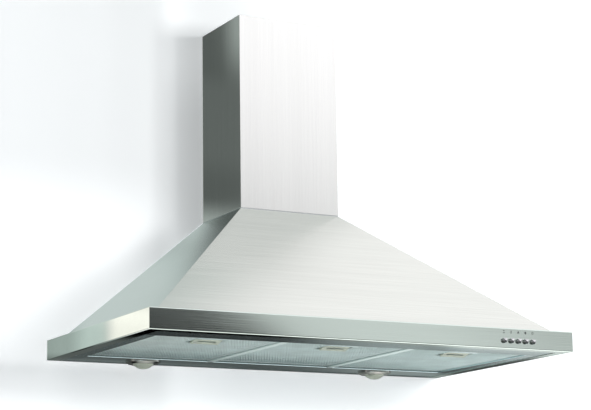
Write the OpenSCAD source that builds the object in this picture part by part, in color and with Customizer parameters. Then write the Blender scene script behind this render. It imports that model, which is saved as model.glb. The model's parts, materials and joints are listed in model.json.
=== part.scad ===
// Wall-mounted pyramid range hood, in millimetres.
// The origin is the centre of the four wall fixing holes, on the wall plane.
// +X is to the right, +Y is into the wall and +Z is up.

/* [Canopy] */
// Width of the hood
hood_w = 900; // [860:10:1200]
// Depth of the hood from the wall to the rim front
hood_d = 500; // [490:5:560]
// Height of the rim band
rim_h = 40; // [36:1:70]
// Height of the pyramid above the rim band
canopy_h = 260; // [240:5:330]
// Set-back of the pyramid's base from the rim's outer faces
canopy_inset = 25; // [15:1:40]
// Thickness of the sheet steel
sheet = 1; // [0.8:0.1:1.5]
// Width of the flange folded in at the rim's lower edge
flange_w = 24; // [14:1:34]
// Overlap of the rim's top ledge under the pyramid's base
ledge_lap = 5; // [3:1:12]
// Depth of the flange folded in at the back panel's lower edge
back_flange = 8; // [6:1:12]

/* [Wall fixing] */
// Height of the centre of the wall holes above the underside
hang_h = 180; // [150:5:190]
// Distance between the wall holes from side to side
hang_w = 240; // [160:10:260]
// Distance between the upper and lower wall holes
hang_v = 120; // [60:10:140]
// Radius of the wall holes
hang_r = 4; // [3:0.5:5]

/* [Chimney] */
// Width of the lower chimney cover
chimney_w = 222; // [214:2:300]
// Depth of the lower chimney cover
chimney_d = 178; // [174:2:240]
// Height of the lower chimney cover
lower_cover_h = 400; // [380:10:600]
// Height of the upper chimney cover
upper_cover_h = 390; // [330:10:395]
// Gap between the lower and the upper chimney cover
nest_gap = 2.5; // [2:0.1:4]
// Thickness of the top plate
plate_t = 1.2; // [1:0.1:2]
// Height of the chimney bracket
bracket_h = 30; // [20:1:40]
// Thickness of the chimney bracket
bracket_t = 1.2; // [1:0.1:1.5]
// Reach of the chimney bracket's side ears
bracket_ear = 20; // [12:1:40]
// Distance between the chimney bracket's wall holes
bracket_hole_w = 140; // [80:5:170]
// Radius of the chimney bracket's wall holes
bracket_hole_r = 2.5; // [2:0.5:4]
// Drop of the chimney bracket below the lower cover's top edge
bracket_drop = 30; // [10:5:80]

/* [Under tray] */
// Depth of the front strip from the rim front to the filters
front_strip = 85; // [70:1:95]
// Depth of the rear strip from the filters to the wall
rear_strip = 85; // [82:1:95]
// Width of the side strip from the rim's outer side to the filters
side_strip = 50.5; // [44:0.5:60]
// Width of a divider between two filters
divider_w = 14; // [10:1:18]
// Height of a divider
divider_h = 9; // [6:0.5:14]
// Set-back of the filters' faces above the tray's sheet
recess = 3; // [2:0.5:5]
// Height of the side lips of the tray opening
side_lip_h = 8; // [5:0.5:14]

/* [Filters] */
// Thickness of a filter
filter_t = 9; // [8.5:0.5:14]
// Gap around a filter
filter_gap = 1.5; // [1.3:0.1:2]
// Wall thickness of the filter frame
frame_skin = 1; // [0.8:0.1:1.2]
// Visible width of the filter frame
frame_band = 8; // [6:0.5:14]
// Gap between the frame and the mesh pack
mesh_gap = 0.2; // [0.1:0.1:0.4]
// Thickness of each of the mesh pack's two sheets
mesh_t = 0.8; // [0.5:0.1:2]
// Distance of the rear tabs from the filter's middle
tab_x = 70; // [45:1:90]
// Width of a rear tab
tab_w = 30; // [15:1:40]
// Length of a rear tab past the ledge
tab_l = 8; // [5:0.5:9]
// Thickness of a rear tab
tab_t = 1.2; // [1:0.1:2]

/* [Filter latch] */
// Distance from the filter's front face to the finger pocket
pocket_y = 36; // [30:1:50]
// Length of the finger pocket
pocket_l = 50; // [45:1:60]
// Width of the finger pocket
pocket_w = 62; // [50:1:80]
// Width of the latch's finger plate
grip_w = 56; // [48:1:58]
// Length of the latch's finger plate
grip_l = 30; // [24:1:34]
// Height of the finger plate's front edge above the filter's face
grip_rise = 4; // [2.5:0.5:5]
// Depth of the finger plate's rear edge below the filter's face
grip_drop = 4; // [2:0.5:6]
// Length of the slot in the finger plate
slot_l = 28; // [16:1:40]
// Height of the slot in the finger plate
slot_h = 4; // [2:0.5:6]
// Thickness of the latch's sheet
latch_t = 1.2; // [1:0.1:1.5]
// Width of the latch's tongue
tongue_w = 28; // [18:1:32]
// Reach of the tongue past the filter's front face
tongue_reach = 6; // [4.5:0.5:8]
// Travel of the latch
latch_travel = 7; // [7:0.5:9]
// Distance of the return springs from the latch's middle
spring_x = 20; // [18:0.5:24]
// Radius of a return spring
spring_r = 2; // [1.5:0.1:2.2]
// Wire thickness of a return spring
spring_wire = 0.6; // [0.4:0.1:0.8]
// Distance from the filter's front face to the latch's ears
ear_y = 12; // [10:0.5:14]

/* [Lamps] */
// Distance of a lamp from the rim's outer side
lamp_side = 185; // [150:5:220]
// Radius of the lamp's bezel ring
bezel_r = 35; // [33:0.5:38]
// Thickness of the bezel ring
bezel_t = 6; // [3:0.5:6.5]
// Radius of the lens dome at the bezel
dome_r = 21; // [18:0.5:25]
// Height of the lens dome below the bezel
dome_h = 9.5; // [8:0.5:15]
// Thickness of the lens glass
glass_t = 2; // [1.5:0.1:2.5]
// Outer radius of the lamp housing
cup_r = 28.5; // [27:0.5:30]
// Height of the lamp housing
cup_h = 24; // [22:1:40]
// Radius of the capsule bulb
bulb_r = 4.5; // [3.5:0.5:6]
// Length of the capsule bulb
bulb_l = 13; // [10:0.5:13.5]

/* [Buttons] */
// Distance of the middle button from the rim's right side
buttons_side = 127.5; // [110:0.5:200]
// Height of the buttons above the underside
button_z = 15.5; // [13:0.5:24]
// Distance between two buttons
button_pitch = 16.5; // [16:0.5:24]
// Radius of a button
button_r = 5; // [4.8:0.1:6.3]
// Reach of a button past the rim front
button_proud = 6; // [5:0.5:8]
// Radius of the button's domed face
button_dome = 9; // [8:0.5:14]
// Travel of a button
button_travel = 3.5; // [2:0.5:4]
// Running gap of a button in the rim and in the switch block
button_gap = 0.3; // [0.2:0.1:0.5]
// Radius of the button's retaining collar
collar_r = 7.2; // [6.8:0.1:7.6]
// Thickness of the button's retaining collar
collar_t = 1.5; // [1:0.1:2]
// Radius of the button's stem
stem_r = 3; // [2:0.1:4]
// Length of the stem inside the switch block
stem_l = 8; // [5:0.5:10]
// Depth of the switch block
switch_d = 20; // [18:1:30]
// Height of the switch block
switch_h = 18; // [17:1:20]

/* [Blower] */
// Distance of the fan axis from the wall
fan_y = 130; // [125:1:150]
// Height of the fan axis above the underside
fan_z = 150; // [150:1:160]
// Radius of the scroll housing
scroll_r = 115; // [108:1:115]
// Width of the scroll housing
scroll_w = 150; // [140:1:152]
// Wall thickness of the scroll housing
scroll_t = 2; // [1.5:0.1:3]
// Radius of the air inlets
inlet_r = 75; // [68:1:77]
// Width of the mounting flange round the blower's outlet
neck_flange = 10; // [8:1:11]
// Radius of the impeller
wheel_r = 95; // [88:1:98]
// Width of the impeller
wheel_w = 120; // [100:1:122]
// Depth of the impeller's ring of blades
blade_l = 16; // [12:1:17]
// Thickness of a blade
blade_t = 1.2; // [1:0.1:2]
// Number of blades
blade_count = 28; // [20:1:36]
// Slant of a blade
blade_slant = 35; // [20:1:45]
// Radius of the impeller's hub
hub_r = 12; // [9:1:20]
// Radius of the motor shaft
shaft_r = 4; // [3:0.5:5]
// Running gap of the shaft in the motor
shaft_gap = 0.3; // [0.2:0.1:0.4]
// Radius of the motor
motor_r = 45; // [35:1:52]
// Gap between the motor and the impeller's hub
hub_gap = 8; // [4:1:12]
// Width of an arm of the motor bracket
arm_w = 16; // [13:1:20]
// Thickness of the motor bracket
arm_t = 2; // [1.5:0.1:3]
// Distance of the rubber bushes from the fan axis
bush_ring = 86; // [84:1:94]
// Radius of a rubber bush
bush_r = 6; // [5:0.5:7]
// Thickness of a rubber bush
bush_t = 4; // [3:0.5:6]
// Radius of the capacitor
capacitor_r = 12; // [9:1:15]
// Length of the capacitor
capacitor_l = 50; // [35:1:60]

/* [Air outlet] */
// Outer radius of the duct spigot
spigot_r = 74.5; // [62:0.5:75]
// Wall thickness of the duct spigot
spigot_t = 1.5; // [1.2:0.1:2]
// Height of the duct spigot
spigot_h = 60; // [45:1:80]
// Width of the spigot's base flange
base_w = 8.5; // [8:0.5:9]
// Thickness of the spigot's base flange
base_t = 2; // [1.5:0.1:3]
// Height of the flap pin above the spigot's base
pin_z = 14; // [12:0.5:18]
// Radius of the flap pin
pin_r = 2; // [1.5:0.1:2.5]
// Running gap of the flaps on their pin
pin_gap = 0.15; // [0.1:0.05:0.3]
// Thickness of a flap
flap_t = 1.5; // [1:0.1:2]
// Gap between the flaps and the spigot's wall
flap_gap = 2.5; // [2:0.1:3]
// Radius of a flap's knuckle
knuckle_r = 3.8; // [3.5:0.1:4.2]
// Length of a flap's knuckle
knuckle_l = 14; // [8:1:16]

/* [Electrics] */
// Width of the lamp transformer
transformer_w = 80; // [60:5:100]
// Height of the lamp transformer
transformer_h = 28; // [20:1:30]
// Depth of the lamp transformer
transformer_d = 40; // [30:1:45]
// Width of the terminal box
terminal_w = 90; // [60:5:100]
// Height of the terminal box
terminal_h = 60; // [40:1:70]
// Depth of the terminal box
terminal_d = 35; // [25:1:40]
// Radius of the cable way through the gland
gland_bore_r = 3.5; // [2.5:0.5:4]
// Radius of the gland's nuts
gland_r = 9.5; // [9:0.5:10]
// Radius of the gland's thread
gland_thread_r = 6.8; // [6:0.1:7.5]

/* [Screws] */
// Radius of a screw's head
head_r = 3.1; // [2.8:0.1:3.2]
// Height of a screw's head
head_h = 2.2; // [1.5:0.1:3]
// Radius of a screw's shank
shank_r = 1.6; // [1.2:0.1:1.8]
// Gap between a shank and its hole
shank_gap = 0.2; // [0.1:0.1:0.3]

/* [Hidden] */

$fn = 96;
// Small overshoot that lets a cut leave the solid cleanly
cut = 1;

steel = "#c9cecb";
dull_steel = "#9aa3a3";
zinc = "#aeb4b6";
alloy = "#b9c2c4";
chrome = "#e2e5e6";
plastic = "#3c4042";
pale_plastic = "#d9d6c8";
rubber = "#232425";

// Heights, all counted from the underside of the rim
under_z = -hang_h;
tray_z = sheet;
filter_z = tray_z + recess;
pyramid_top_z = rim_h + canopy_h;
cover_z = pyramid_top_z + plate_t;
cover_top_z = cover_z + lower_cover_h;

// Half sizes of the pyramid's outer faces, and how far its inner faces lie inside them
base_x = hood_w / 2 - canopy_inset;
base_y = hood_d - canopy_inset;
neck_x = chimney_w / 2;
neck_y = chimney_d;
inner_x = sheet * norm([canopy_h, base_x - neck_x]) / canopy_h;
inner_y = sheet * norm([canopy_h, base_y - neck_y]) / canopy_h;

// The tray's opening and the filters in it
opening_x = hood_w / 2 - side_strip;
opening_front = front_strip - hood_d;
opening_rear = -rear_strip;
filter_w = (2 * opening_x - 2 * divider_w) / 3 - 2 * filter_gap;
filter_d = opening_rear - opening_front - 2 * filter_gap;
filter_pitch = filter_w + divider_w + 2 * filter_gap;
filter_front = opening_front + filter_gap;
front_lip_top = filter_z + frame_skin;
seat_gap = 0.3;
tongue_z = frame_skin + seat_gap;
tongue_l = pocket_y + 12;
ear_h = 5.5;
ear_t = 1.5;
ear_w = spring_x + 1.5 * spring_r;
spring_z = tongue_z + latch_t + spring_r + seat_gap;
housing_wall = 1;
grip_y = pocket_y + 5;
slot_place = 0.62;

// Places of the lamps, buttons, fan and duct
lamp_x = hood_w / 2 - lamp_side;
lamp_y = (opening_rear - sheet - back_flange) / 2;
bezel_z = tray_z - bezel_t;
shelf_t = 1.3;
lens_flange = 3;
cup_gap = 0.5;
cup_wall = 1.2;
socket_h = 7;
buttons_x = hood_w / 2 - buttons_side;
face_y = -hood_d - button_proud;
block_gap = 0.7;
block_end = 14;
block_post = 6;
collar_y = button_proud + sheet + button_gap;
block_y = collar_y + collar_t + button_travel + block_gap;
block_w = 4 * button_pitch + 2 * block_end;
duct_y = -chimney_d / 2;
bore_r = spigot_r - spigot_t;
flap_r = bore_r - flap_gap;
neck_back = -fan_y + scroll_r;
neck_front = 2 * duct_y - neck_back;
motor_x = scroll_w / 2 + bush_t;
motor_rim = 10;
bracket_turns = [90, 210, 330];
hub_l = 18;
knuckle_places = [-45, 10];
knuckle_room = 0.8;
pin_end_gap = 0.5;
tail_gap = 2;
cover_back_gap = 0.8;
cover_back = bracket_t + cover_back_gap;
gland_x = scroll_w / 2 + neck_flange + gland_r + cup_gap;

module at_underside() {
    translate([0, 0, under_z]) children();
}

module box(low, high) {
    translate(low) cube(high - low);
}

module both_sides() {
    children();
    mirror([1, 0, 0]) children();
}

// A cylinder along +X, +Y or +Z from the given point
module rod_x(point, length, radius) {
    translate(point) rotate([0, 90, 0]) cylinder(h = length, r = radius);
}

module rod_y(point, length, radius) {
    translate(point) rotate([-90, 0, 0]) cylinder(h = length, r = radius);
}

module rod_z(point, length, radius) {
    translate(point) cylinder(h = length, r = radius);
}

// A pan-head screw whose head sits on z = 0 with the shank pointing down
module screw(length) {
    cylinder(h = head_h, r = head_r);
    translate([0, 0, -length]) cylinder(h = length, r = shank_r);
}

// A flat panel between an outer and an inner face with four corners each
module panel(outer, inner) {
    polyhedron(
        points = concat(outer, inner),
        faces = [
            [0, 1, 2, 3], [7, 6, 5, 4], [0, 4, 5, 1],
            [1, 5, 6, 2], [2, 6, 7, 3], [3, 7, 4, 0]
        ]
    );
}

// Canopy
module rim_band() {
    top_w = canopy_inset + ledge_lap;
    color(steel) at_underside() difference() {
        union() {
            box([-hood_w / 2, -hood_d, 0], [hood_w / 2, sheet - hood_d, rim_h]);
            box([-hood_w / 2, -hood_d, 0], [hood_w / 2, flange_w - hood_d, sheet]);
            box([-hood_w / 2, -hood_d, rim_h - sheet], [hood_w / 2, top_w - hood_d, rim_h]);
            both_sides() {
                box([hood_w / 2 - sheet, -hood_d, 0], [hood_w / 2, 0, rim_h]);
                box([hood_w / 2 - flange_w, -hood_d, 0], [hood_w / 2, -sheet, sheet]);
                box([hood_w / 2 - top_w, -hood_d, rim_h - sheet], [hood_w / 2, -sheet, rim_h]);
            }
        }
        for (i = [-2:2]) {
            rod_y([buttons_x + i * button_pitch, -hood_d - cut, button_z], sheet + 2 * cut,
                button_r + button_gap);
        }
    }
}

module pyramid_front() {
    color(steel) at_underside() panel(
        [
            [-base_x, -base_y, rim_h], [-neck_x, -neck_y, pyramid_top_z],
            [neck_x, -neck_y, pyramid_top_z], [base_x, -base_y, rim_h]
        ],
        [
            [inner_x - base_x, inner_y - base_y, rim_h],
            [inner_x - neck_x, inner_y - neck_y, pyramid_top_z],
            [neck_x - inner_x, inner_y - neck_y, pyramid_top_z],
            [base_x - inner_x, inner_y - base_y, rim_h]
        ]
    );
}

module pyramid_side() {
    panel(
        [
            [base_x, -base_y, rim_h], [neck_x, -neck_y, pyramid_top_z],
            [neck_x, 0, pyramid_top_z], [base_x, 0, rim_h]
        ],
        [
            [base_x - inner_x, inner_y - base_y, rim_h],
            [neck_x - inner_x, inner_y - neck_y, pyramid_top_z],
            [neck_x - inner_x, 0, pyramid_top_z],
            [base_x - inner_x, 0, rim_h]
        ]
    );
}

module pyramid_right() {
    color(steel) at_underside() pyramid_side();
}

module pyramid_left() {
    color(steel) at_underside() mirror([1, 0, 0]) pyramid_side();
}

module back_panel() {
    side = hood_w / 2 - sheet;
    foot = base_x - inner_x;
    head = neck_x - inner_x;
    color(dull_steel) {
        at_underside() box([flange_w - hood_w / 2, -sheet - back_flange, 0],
            [hood_w / 2 - flange_w, -sheet, sheet]);
        difference() {
            at_underside() rotate([90, 0, 0]) linear_extrude(sheet) polygon([
                [-side, 0], [side, 0], [side, rim_h], [foot, rim_h], [head, pyramid_top_z],
                [-head, pyramid_top_z], [-foot, rim_h], [-side, rim_h]
            ]);
            for (x = [-hang_w / 2, hang_w / 2], z = [-hang_v / 2, hang_v / 2]) {
                rod_y([x, -sheet - cut, z], sheet + 2 * cut, hang_r);
            }
        }
    }
}

module top_plate() {
    color(dull_steel) at_underside() difference() {
        box([-neck_x, -neck_y, pyramid_top_z], [neck_x, 0, cover_z]);
        rod_z([0, duct_y, pyramid_top_z - cut], plate_t + 2 * cut, bore_r);
        rod_z([gland_x, duct_y, pyramid_top_z - cut], plate_t + 2 * cut, gland_thread_r);
        collar_screw_places() {
            rod_z([0, 0, pyramid_top_z - cut], plate_t + 2 * cut, shank_r + shank_gap);
        }
        blower_screw_places() {
            rod_z([0, 0, pyramid_top_z - cut], plate_t + 2 * cut, shank_r + shank_gap);
        }
    }
}

// Under tray
module front_rail() {
    color(dull_steel) at_underside() {
        box([sheet - hood_w / 2, sheet - hood_d, tray_z],
            [hood_w / 2 - sheet, opening_front, tray_z + sheet]);
        box([-opening_x, opening_front - sheet, tray_z], [opening_x, opening_front, front_lip_top]);
    }
}

module rear_rail() {
    color(dull_steel) at_underside() difference() {
        union() {
            box([sheet - hood_w / 2, opening_rear, tray_z],
                [hood_w / 2 - sheet, -sheet, tray_z + sheet]);
            box([-opening_x, opening_rear, tray_z], [opening_x, opening_rear + sheet, filter_z]);
        }
        both_sides() rod_z([lamp_x, lamp_y, 0], 2 * sheet + cut, cup_r + cup_gap);
    }
}

module side_rail() {
    box([opening_x, opening_front, tray_z], [hood_w / 2 - sheet, opening_rear, tray_z + sheet]);
    box([opening_x, opening_front, tray_z], [opening_x + sheet, opening_rear, tray_z + side_lip_h]);
}

module right_rail() {
    color(dull_steel) at_underside() side_rail();
}

module left_rail() {
    color(dull_steel) at_underside() mirror([1, 0, 0]) side_rail();
}

module divider() {
    low = filter_w / 2 + filter_gap;
    high = low + divider_w;
    box([low, opening_front, tray_z], [high, opening_rear, tray_z + sheet]);
    box([low, opening_front, tray_z], [low + sheet, opening_rear, tray_z + divider_h]);
    box([high - sheet, opening_front, tray_z], [high, opening_rear, tray_z + divider_h]);
}

module right_divider() {
    color(dull_steel) at_underside() divider();
}

module left_divider() {
    color(dull_steel) at_underside() mirror([1, 0, 0]) divider();
}

// Filters: side is -1, 0 or 1, and y runs from the filter's front face to the rear
module at_filter(side) {
    translate([side * filter_pitch, filter_front, under_z + filter_z]) children();
}

module filter_frame(side) {
    half = filter_w / 2;
    pocket_half = pocket_w / 2;
    pocket_end = pocket_y + pocket_l;
    color(alloy) at_filter(side) {
        difference() {
            union() {
                difference() {
                    box([-half, 0, 0], [half, filter_d, filter_t]);
                    box([frame_skin - half, frame_skin, frame_skin],
                        [half - frame_skin, filter_d - frame_skin, filter_t - frame_skin]);
                    box([frame_band - half, frame_band, -cut],
                        [half - frame_band, filter_d - frame_band, filter_t + cut]);
                }
                box([-pocket_half - housing_wall, frame_skin, 0],
                    [pocket_half + housing_wall, pocket_y, frame_skin]);
                box([-pocket_half - housing_wall, pocket_y - housing_wall, 0],
                    [pocket_half + housing_wall, pocket_end + housing_wall, filter_t]);
            }
            box([-pocket_half, pocket_y, -cut],
                [pocket_half, pocket_end, filter_t - housing_wall]);
            box([-tongue_w / 2 - seat_gap, -cut, frame_skin],
                [tongue_w / 2 + seat_gap, pocket_y + cut, tongue_z + latch_t + seat_gap]);
        }
        both_sides() box([tab_x - tab_w / 2, filter_d, seat_gap],
            [tab_x + tab_w / 2, filter_d + filter_gap + sheet + tab_l, seat_gap + tab_t]);
    }
}

// The mesh pack's lower and upper sheet, cut back round the latch's housing
module filter_mesh(side) {
    edge = frame_skin + mesh_gap;
    half = filter_w / 2 - edge;
    keep_out = pocket_w / 2 + housing_wall + mesh_gap;
    color(zinc) at_filter(side) difference() {
        for (z = [edge, filter_t - edge - mesh_t]) {
            box([-half, edge, z], [half, filter_d - edge, z + mesh_t]);
        }
        box([-keep_out, 0, 0],
            [keep_out, pocket_y + pocket_l + housing_wall + mesh_gap, filter_t]);
    }
}

module filter_latch(side) {
    grip_half = grip_w / 2;
    slope = [grip_l, grip_rise + grip_drop];
    skin = latch_t * norm(slope) / grip_l;
    end = grip_y + grip_l;
    color(pale_plastic) at_filter(side) {
        difference() {
            union() {
                box([-tongue_w / 2, -tongue_reach, tongue_z],
                    [tongue_w / 2, tongue_l, tongue_z + latch_t]);
                translate([-grip_half, 0, 0]) rotate([90, 0, 90]) linear_extrude(grip_w) polygon([
                    [grip_y, grip_rise], [end, -grip_drop], [end, skin - grip_drop],
                    [grip_y, grip_rise + skin]
                ]);
                both_sides() translate([grip_half - latch_t, 0, 0]) rotate([90, 0, 90])
                    linear_extrude(latch_t) polygon([
                        [grip_y, grip_rise], [end, -grip_drop], [end, grip_rise + skin],
                        [grip_y, grip_rise + skin]
                    ]);
            }
            translate([0, grip_y + grip_l * slot_place, 0])
                cube([slot_l, slot_h * grip_l / norm(slope), 4 * filter_t], center = true);
        }
        box([-ear_w, ear_y, tongue_z], [ear_w, ear_y + ear_t, tongue_z + ear_h]);
    }
}

module latch_springs(side) {
    start = ear_y + ear_t + seat_gap;
    length = pocket_y - housing_wall - seat_gap - start;
    color(zinc) at_filter(side) both_sides() difference() {
        rod_y([spring_x, start, spring_z], length, spring_r);
        rod_y([spring_x, start - cut, spring_z], length + 2 * cut, spring_r - spring_wire);
    }
}

// Lamps: side is -1 or 1
module at_lamp(side) {
    translate([side * lamp_x, lamp_y, under_z]) children();
}

module lamp_bezel(side) {
    hole_r = dome_r + seat_gap;
    seat_r = hole_r + lens_flange;
    color(chrome) at_lamp(side) rotate_extrude() polygon([
        [hole_r, bezel_z], [bezel_r - bezel_t, bezel_z], [bezel_r, tray_z - bezel_t / 2],
        [bezel_r, tray_z], [seat_r, tray_z], [seat_r, bezel_z + shelf_t],
        [hole_r, bezel_z + shelf_t]
    ]);
}

// The dome's outer radius follows from its width and height
module lamp_lens(side) {
    ball_r = (pow(dome_r, 2) + pow(dome_h, 2)) / (2 * dome_h);
    centre = bezel_z - dome_h + ball_r;
    flange_z = bezel_z + shelf_t;
    color(pale_plastic) at_lamp(side) rotate_extrude() {
        difference() {
            intersection() {
                translate([0, centre]) circle(r = ball_r);
                translate([0, bezel_z - dome_h]) square([dome_r, dome_h]);
            }
            translate([0, centre]) circle(r = ball_r - glass_t);
            translate([-ball_r, bezel_z - dome_h - cut]) square([ball_r, 2 * dome_h]);
        }
        translate([dome_r - glass_t, bezel_z]) square([glass_t, shelf_t + glass_t / 2]);
        translate([dome_r - glass_t, flange_z]) square([glass_t + lens_flange, glass_t / 2]);
    }
}

module lamp_housing(side) {
    color(zinc) at_lamp(side) {
        difference() {
            rod_z([0, 0, tray_z], cup_h, cup_r);
            rod_z([0, 0, tray_z - cut], cup_h - cup_wall + cut, cup_r - cup_wall);
        }
        rod_z([0, 0, tray_z + cup_h - cup_wall - socket_h], socket_h, 2 * bulb_r);
    }
}

module lamp_bulb(side) {
    top = tray_z + cup_h - cup_wall - socket_h;
    color(chrome) at_lamp(side) {
        rod_z([0, 0, top - bulb_l + bulb_r], bulb_l - bulb_r, bulb_r);
        translate([0, 0, top - bulb_l + bulb_r]) sphere(r = bulb_r);
    }
}

// Buttons: place runs from -2 to 2, and z runs from the domed face to the rear
module button(place) {
    color(chrome) at_underside()
        translate([buttons_x + place * button_pitch, face_y, button_z]) rotate([-90, 0, 0]) {
        intersection() {
            translate([0, 0, button_dome]) sphere(r = button_dome);
            cylinder(h = collar_y, r = button_r);
        }
        translate([0, 0, collar_y]) cylinder(h = collar_t, r = collar_r);
        translate([0, 0, collar_y]) cylinder(h = block_y - collar_y + stem_l, r = stem_r);
    }
}

module switch_block() {
    front = face_y + block_y;
    rear = front + switch_d;
    half = block_w / 2;
    blade = [0.8, 6, 5];
    color(plastic) at_underside() translate([buttons_x, 0, button_z]) {
        difference() {
            box([-half, front, -switch_h / 2], [half, rear, switch_h / 2]);
            for (i = [-2:2]) {
                rod_y([i * button_pitch, front - cut, 0], stem_l + button_travel + cut + 1,
                    stem_r + button_gap);
            }
        }
        both_sides() box([half - block_post, sheet - hood_d, -switch_h / 2],
            [half, front, switch_h / 2]);
        for (i = [-2:2]) {
            translate([i * button_pitch, rear, -blade[2] / 2]) cube(blade);
        }
    }
}

// Blower: its parts are centred on the fan axis
module at_fan() {
    translate([0, -fan_y, under_z + fan_z]) children();
}

module scroll_outline(inset) {
    top = pyramid_top_z - fan_z;
    back = neck_back + fan_y - inset;
    front = neck_front + fan_y + inset;
    circle(r = scroll_r - inset);
    translate([front, 0]) square([back - front, top]);
}

module housing_half() {
    half = scroll_w / 2;
    top = pyramid_top_z - fan_z;
    lip_l = 8;
    difference() {
        union() {
            rotate([90, 0, 90]) difference() {
                linear_extrude(half) scroll_outline(0);
                translate([0, 0, -cut]) linear_extrude(half - scroll_t + cut)
                    scroll_outline(scroll_t);
            }
            box([0, neck_front + fan_y - neck_flange, top - scroll_t],
                [half + neck_flange, neck_back + fan_y + neck_flange, top]);
            rod_x([half - lip_l, 0, 0], lip_l, inlet_r + scroll_t);
        }
        rod_x([half - lip_l - cut, 0, 0], lip_l + 2 * cut, inlet_r);
        box([-cut, neck_front + fan_y + scroll_t, top - scroll_t - cut],
            [half - scroll_t, neck_back + fan_y - scroll_t, top + cut]);
        at_plate() blower_screw_places() rod_z([0, 0, 0], 2 * pyramid_top_z, shank_r + shank_gap);
    }
}

// The screws' places are counted from the underside, and the housing from the fan axis
module at_plate() {
    translate([0, fan_y, -fan_z]) children();
}

module housing_right() {
    color(plastic) at_fan() housing_half();
}

module housing_left() {
    color(plastic) at_fan() difference() {
        mirror([1, 0, 0]) housing_half();
        bush_places() rod_x([-scroll_w / 2 - cut, 0, 0], scroll_t + 2 * cut,
            shank_r + shank_gap);
    }
}

// Three places round the fan axis for the motor bracket's bushes and screws
module bush_places() {
    for (turn = bracket_turns) {
        rotate([turn, 0, 0]) translate([0, bush_ring, 0]) children();
    }
}

module motor() {
    color(zinc) at_fan() difference() {
        rod_x([-motor_x, 0, 0], motor_x - hub_gap - hub_l / 2, motor_r);
        rod_x([-motor_x / 2, 0, 0], motor_x, shaft_r + shaft_gap);
    }
}

module motor_bracket() {
    color(dull_steel) at_fan() difference() {
        union() {
            rod_x([-motor_x - arm_t, 0, 0], arm_t, motor_r - motor_rim);
            for (turn = bracket_turns) {
                rotate([turn, 0, 0]) box([-motor_x - arm_t, 0, -arm_w / 2],
                    [-motor_x, bush_ring + bush_r, arm_w / 2]);
            }
        }
        bush_places() rod_x([-motor_x - arm_t - cut, 0, 0], arm_t + 2 * cut,
            shank_r + shank_gap);
    }
}

module motor_bushes() {
    color(rubber) at_fan() bush_places() difference() {
        rod_x([-motor_x, 0, 0], bush_t, bush_r);
        rod_x([-motor_x - cut, 0, 0], bush_t + 2 * cut, shank_r + shank_gap);
    }
}

module motor_screws() {
    color(zinc) at_fan() bush_places() translate([-motor_x - arm_t, 0, 0])
        rotate([0, -90, 0]) screw(arm_t + bush_t + scroll_t + 1);
}

module capacitor() {
    color(pale_plastic) at_fan() {
        rod_z([scroll_w / 2 + capacitor_r, -(inlet_r + scroll_r) / 2, -capacitor_l / 2],
            capacitor_l, capacitor_r);
    }
}

module impeller() {
    half = wheel_w / 2;
    ring = 2;
    color(zinc) at_fan() difference() {
        union() {
            rod_x([-ring / 2, 0, 0], ring, wheel_r);
            rod_x([-hub_l / 2, 0, 0], hub_l, hub_r);
            for (x = [-half, half - ring]) {
                difference() {
                    rod_x([x, 0, 0], ring, wheel_r);
                    rod_x([x - cut, 0, 0], ring + 2 * cut, wheel_r - blade_l / 2);
                }
            }
            for (i = [0:blade_count - 1]) {
                rotate([i * 360 / blade_count, 0, 0]) translate([0, wheel_r - blade_l, 0])
                    rotate([blade_slant, 0, 0])
                    box([-half, 0, -blade_t / 2], [half, blade_l, blade_t / 2]);
            }
        }
        rod_x([-hub_l, 0, 0], 2 * hub_l, shaft_r);
    }
}

module motor_shaft() {
    tail = motor_x / 2 - tail_gap;
    color(chrome) at_fan() rod_x([-tail, 0, 0], tail + hub_l / 2, shaft_r);
}

module blower_screw_places() {
    for (x = [-1, 1], y = [neck_front - neck_flange / 2, neck_back + neck_flange / 2]) {
        translate([x * scroll_w / 2, y, 0]) children();
    }
}

module blower_screws() {
    color(zinc) at_underside() blower_screw_places() translate([0, 0, cover_z])
        screw(plate_t + scroll_t + 2);
}

// Air outlet
module collar_screw_places() {
    for (turn = [45, 135, 225, 315]) {
        translate([0, duct_y, 0]) rotate([0, 0, turn])
            translate([spigot_r + base_w / 2, 0, 0]) children();
    }
}

module collar_screws() {
    color(zinc) at_underside() collar_screw_places() translate([0, 0, cover_z + base_t])
        screw(base_t + plate_t + 2);
}

module at_duct() {
    translate([0, duct_y, under_z + cover_z]) children();
}

module outlet_collar() {
    boss_r = 4;
    boss_l = 6;
    stop_t = 2;
    stop_w = 4;
    stop_z = pin_z - flap_t / 2 - seat_gap - stop_t;
    color(plastic) difference() {
        at_duct() difference() {
            union() {
                difference() {
                    union() {
                        cylinder(h = base_t, r = spigot_r + base_w);
                        cylinder(h = spigot_h, r = spigot_r);
                    }
                    translate([0, 0, -cut]) cylinder(h = spigot_h + 2 * cut, r = bore_r);
                }
                difference() {
                    translate([0, 0, stop_z]) cylinder(h = stop_t, r = bore_r + spigot_t / 2);
                    translate([0, 0, stop_z - cut]) cylinder(h = stop_t + 2 * cut,
                        r = bore_r - stop_w);
                    box([-bore_r, -2 * boss_r, 0], [bore_r, 2 * boss_r, spigot_h]);
                }
                both_sides() rod_x([bore_r - boss_l, 0, pin_z], boss_l + spigot_t / 2, boss_r);
            }
            rod_x([-bore_r, 0, pin_z], 2 * bore_r, pin_r + shank_gap / 4);
        }
        at_underside() collar_screw_places() rod_z([0, 0, cover_z - cut], base_t + 2 * cut,
            shank_r + shank_gap);
    }
}

module flap_pin() {
    color(chrome) at_duct() rod_x([pin_end_gap - bore_r, 0, pin_z],
        2 * (bore_r - pin_end_gap), pin_r);
}

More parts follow.
